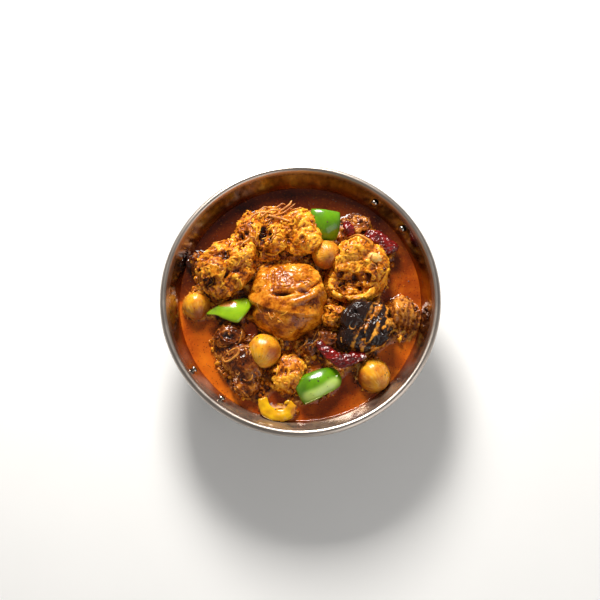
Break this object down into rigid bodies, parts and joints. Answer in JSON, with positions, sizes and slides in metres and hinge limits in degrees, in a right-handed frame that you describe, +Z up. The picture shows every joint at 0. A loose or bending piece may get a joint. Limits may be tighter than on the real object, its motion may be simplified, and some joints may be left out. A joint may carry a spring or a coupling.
{
  "type": "chicken curry",
  "caption": "Chicken curry with pearl onions, pepper petals and dried chillies in a shallow polished steel bowl with a rolled rim.",
  "frame": {"origin": "centre of the bowl's flat foot, on the surface it stands on", "axes": "+Z up out of the bowl, -Y towards the person eating, +X to their right"},
  "size_m": [0.22, 0.22, 0.0768],
  "materials": {
    "steel": "mirror-polished stainless steel, lightly scuffed",
    "sauce": "oily orange-red gravy, wet",
    "chicken_glazed": "golden braised skin, wet with oil",
    "chicken_torn": "torn meat coated in thick masala",
    "chicken_dark": "dark caramelised meat, sticky and shiny",
    "onion": "cooked pearl onion, translucent and oily",
    "green_pepper": "smooth waxy pepper skin, pale flesh at the edges",
    "yellow_pepper": "soft yellow pepper flesh, wet",
    "red_chili": "wrinkled dried chilli skin, soaked and glossy"
  },
  "bodies": {
    "root": {"bowl": "steel", "rivet_1": "steel", "rivet_2": "steel", "rivet_3": "steel", "rivet_4": "steel", "sauce": "sauce", "chicken_thigh": "chicken_glazed", "chicken_left": "chicken_torn", "chicken_back_left": "chicken_torn", "chicken_back": "chicken_torn", "chicken_right": "chicken_torn", "chicken_charred": "chicken_dark", "chicken_ridged": "chicken_torn", "chicken_dark": "chicken_dark", "chicken_small_centre": "chicken_torn", "chicken_small_front": "chicken_torn", "chicken_middle": "chicken_dark", "chicken_back_right": "chicken_torn", "pearl_onion_1": "onion", "pearl_onion_2": "onion", "pearl_onion_3": "onion", "pearl_onion_4": "onion", "garlic_clove": "onion", "onion_slice": "onion", "green_pepper_1": "green_pepper", "green_pepper_2": "green_pepper", "green_pepper_3": "green_pepper", "yellow_pepper": "yellow_pepper", "red_chili_1": "red_chili", "red_chili_2": "red_chili", "red_chili_3": "red_chili", "red_chili_4": "red_chili"}
  },
  "joints": []
}
